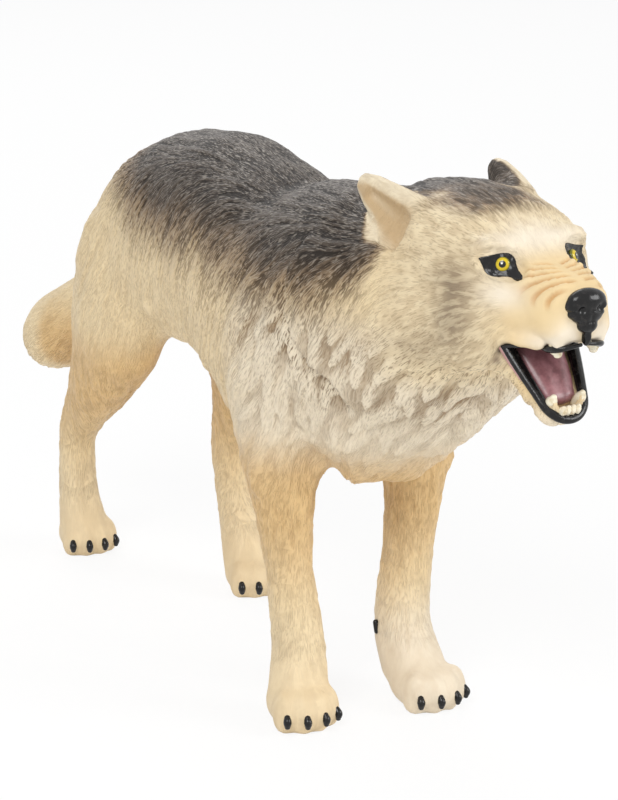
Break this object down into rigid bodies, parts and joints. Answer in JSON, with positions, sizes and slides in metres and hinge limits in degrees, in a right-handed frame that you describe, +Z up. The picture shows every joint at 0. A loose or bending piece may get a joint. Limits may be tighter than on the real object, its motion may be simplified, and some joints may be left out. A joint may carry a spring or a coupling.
{
  "type": "wolf figurine",
  "caption": "Moulded figure of a snarling wolf that walks with its mouth open and ears laid back, standing on flat soles.",
  "frame": {"origin": "middle of the bounding box on the plane of the soles", "axes": "+X to the wolf's left, +Y from nose to tail, +Z up"},
  "size_m": [0.0296, 0.1172, 0.0631],
  "materials": {
    "painted_pvc": "hand-painted matt lacquer over moulded PVC, gloss on the nose, eyes, lips and claws"
  },
  "bodies": {
    "root": {"wolf": "painted_pvc"}
  },
  "joints": []
}
